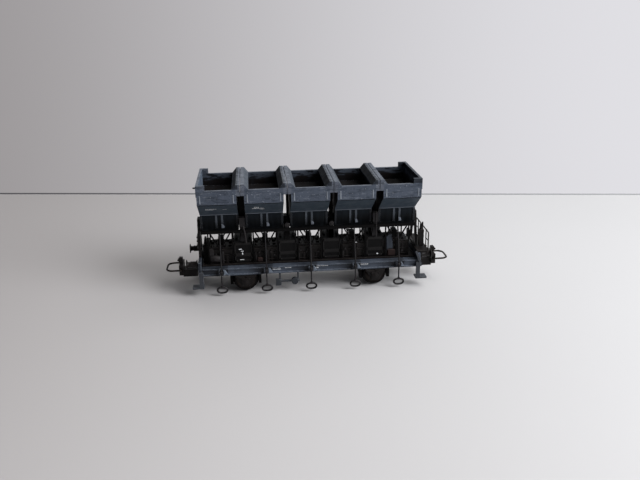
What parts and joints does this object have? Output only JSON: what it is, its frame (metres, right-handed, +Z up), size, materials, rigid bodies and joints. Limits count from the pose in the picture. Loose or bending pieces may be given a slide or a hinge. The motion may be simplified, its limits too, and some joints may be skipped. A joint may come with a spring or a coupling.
{
  "type": "model hopper car",
  "caption": "Model railway wagon on two axles, with a row of side-tipping hoppers on trestles, locking levers with pull rings, an end platform and loop couplers.",
  "frame": {"origin": "middle of the wagon, on the plane that the wheel flanges stand on", "axes": "+X along the wagon towards the brake platform, +Z up"},
  "size_m": [0.1376, 0.0344, 0.0544],
  "materials": {
    "hopper_grey": "satin, lightly worn",
    "frame_grey": "satin, lightly worn",
    "lever_grey": "satin",
    "dark_brown": "satin",
    "wheel_black": "semi-gloss",
    "axle_steel": "bright",
    "blackened_wire": "chemically blackened",
    "ballast_zinc": "as cast"
  },
  "bodies": {
    "frame": {"solebar_near": "frame_grey", "solebar_far": "frame_grey", "headstock_left": "frame_grey", "headstock_right": "frame_grey", "deck": "dark_brown", "ballast_weight": "ballast_zinc", "trestle_1": "dark_brown", "trestle_2": "dark_brown", "trestle_3": "dark_brown", "trestle_4": "dark_brown", "trestle_left": "dark_brown", "trestle_right": "dark_brown", "bracing_near": "dark_brown", "bracing_far": "dark_brown", "axle_guard_left_near": "dark_brown", "axle_guard_left_far": "dark_brown", "axle_guard_right_near": "dark_brown", "axle_guard_right_far": "dark_brown", "brake_rigging_left": "dark_brown", "brake_rigging_right": "dark_brown", "brake_valve": "lever_grey", "buffer_left_near": "dark_brown", "buffer_left_far": "dark_brown", "buffer_right_near": "dark_brown", "buffer_right_far": "dark_brown", "step_left_near": "frame_grey", "step_left_far": "frame_grey", "step_right_near": "frame_grey", "step_right_far": "frame_grey", "platform": "dark_brown", "railing": "blackened_wire", "handbrake_stand": "dark_brown"},
    "hopper_1": {"hopper_1": "hopper_grey"},
    "hopper_2": {"hopper_2": "hopper_grey"},
    "hopper_3": {"hopper_3": "hopper_grey"},
    "hopper_4": {"hopper_4": "hopper_grey"},
    "hopper_5": {"hopper_5": "hopper_grey"},
    "lever_near_1": {"lever_near_1": "lever_grey"},
    "lever_near_2": {"lever_near_2": "lever_grey"},
    "lever_near_3": {"lever_near_3": "lever_grey"},
    "lever_near_4": {"lever_near_4": "lever_grey"},
    "lever_near_5": {"lever_near_5": "lever_grey"},
    "lever_far_1": {"lever_far_1": "lever_grey"},
    "lever_far_2": {"lever_far_2": "lever_grey"},
    "lever_far_3": {"lever_far_3": "lever_grey"},
    "lever_far_4": {"lever_far_4": "lever_grey"},
    "lever_far_5": {"lever_far_5": "lever_grey"},
    "wheelset_left": {"axle_left": "axle_steel", "wheel_left_near": "wheel_black", "wheel_left_far": "wheel_black"},
    "wheelset_right": {"axle_right": "axle_steel", "wheel_right_near": "wheel_black", "wheel_right_far": "wheel_black"},
    "coupler_left": {"coupler_left": "dark_brown"},
    "coupler_loop_left": {"coupler_loop_left": "blackened_wire"},
    "coupler_right": {"coupler_right": "dark_brown"},
    "coupler_loop_right": {"coupler_loop_right": "blackened_wire"},
    "handbrake_crank": {"handbrake_crank": "dark_brown"}
  },
  "joints": [
    {"name": "hopper_1_tip", "type": "hinge", "parent": "frame", "child": "hopper_1", "pos_m": [-0.042, 0, 0.031], "axis": [1, 0, 0], "range_deg": [-40, 40]},
    {"name": "hopper_2_tip", "type": "hinge", "parent": "frame", "child": "hopper_2", "pos_m": [-0.021, 0, 0.031], "axis": [1, 0, 0], "range_deg": [-40, 40]},
    {"name": "hopper_3_tip", "type": "hinge", "parent": "frame", "child": "hopper_3", "pos_m": [0, 0, 0.031], "axis": [1, 0, 0], "range_deg": [-40, 40]},
    {"name": "hopper_4_tip", "type": "hinge", "parent": "frame", "child": "hopper_4", "pos_m": [0.021, 0, 0.031], "axis": [1, 0, 0], "range_deg": [-40, 40]},
    {"name": "hopper_5_tip", "type": "hinge", "parent": "frame", "child": "hopper_5", "pos_m": [0.042, 0, 0.031], "axis": [1, 0, 0], "range_deg": [-40, 40]},
    {"name": "lever_near_1_pull", "type": "hinge", "parent": "frame", "child": "lever_near_1", "pos_m": [-0.042, -0.014, 0.0116], "axis": [1, 0, 0], "range_deg": [0, 12]},
    {"name": "lever_near_2_pull", "type": "hinge", "parent": "frame", "child": "lever_near_2", "pos_m": [-0.021, -0.014, 0.0116], "axis": [1, 0, 0], "range_deg": [0, 12]},
    {"name": "lever_near_3_pull", "type": "hinge", "parent": "frame", "child": "lever_near_3", "pos_m": [0, -0.014, 0.0116], "axis": [1, 0, 0], "range_deg": [0, 12]},
    {"name": "lever_near_4_pull", "type": "hinge", "parent": "frame", "child": "lever_near_4", "pos_m": [0.021, -0.014, 0.0116], "axis": [1, 0, 0], "range_deg": [0, 12]},
    {"name": "lever_near_5_pull", "type": "hinge", "parent": "frame", "child": "lever_near_5", "pos_m": [0.042, -0.014, 0.0116], "axis": [1, 0, 0], "range_deg": [0, 12]},
    {"name": "lever_far_1_pull", "type": "hinge", "parent": "frame", "child": "lever_far_1", "pos_m": [-0.042, 0.014, 0.0116], "axis": [-1, 0, 0], "range_deg": [0, 12]},
    {"name": "lever_far_2_pull", "type": "hinge", "parent": "frame", "child": "lever_far_2", "pos_m": [-0.021, 0.014, 0.0116], "axis": [-1, 0, 0], "range_deg": [0, 12]},
    {"name": "lever_far_3_pull", "type": "hinge", "parent": "frame", "child": "lever_far_3", "pos_m": [0, 0.014, 0.0116], "axis": [-1, 0, 0], "range_deg": [0, 12]},
    {"name": "lever_far_4_pull", "type": "hinge", "parent": "frame", "child": "lever_far_4", "pos_m": [0.021, 0.014, 0.0116], "axis": [-1, 0, 0], "range_deg": [0, 12]},
    {"name": "lever_far_5_pull", "type": "hinge", "parent": "frame", "child": "lever_far_5", "pos_m": [0.042, 0.014, 0.0116], "axis": [-1, 0, 0], "range_deg": [0, 12]},
    {"name": "wheelset_left_roll", "type": "hinge", "parent": "frame", "child": "wheelset_left", "pos_m": [-0.0309, 0, 0.00615], "axis": [0, 1, 0], "continuous": true},
    {"name": "wheelset_right_roll", "type": "hinge", "parent": "frame", "child": "wheelset_right", "pos_m": [0.0309, 0, 0.00615], "axis": [0, 1, 0], "continuous": true},
    {"name": "coupler_left_swing", "type": "hinge", "parent": "frame", "child": "coupler_left", "pos_m": [-0.048, 0, 0.0098], "axis": [0, 0, 1], "range_deg": [-12, 12]},
    {"name": "coupler_loop_left_lift", "type": "hinge", "parent": "coupler_left", "child": "coupler_loop_left", "pos_m": [-0.0614, 0, 0.0104], "axis": [0, 1, 0], "range_deg": [0, 35]},
    {"name": "coupler_right_swing", "type": "hinge", "parent": "frame", "child": "coupler_right", "pos_m": [0.048, 0, 0.0098], "axis": [0, 0, 1], "range_deg": [-12, 12]},
    {"name": "coupler_loop_right_lift", "type": "hinge", "parent": "coupler_right", "child": "coupler_loop_right", "pos_m": [0.0614, 0, 0.0104], "axis": [0, -1, 0], "range_deg": [0, 35]},
    {"name": "handbrake_crank_turn", "type": "hinge", "parent": "frame", "child": "handbrake_crank", "pos_m": [0.05425, -0.0062, 0.0282], "axis": [0, 0, 1], "continuous": true}
  ]
}
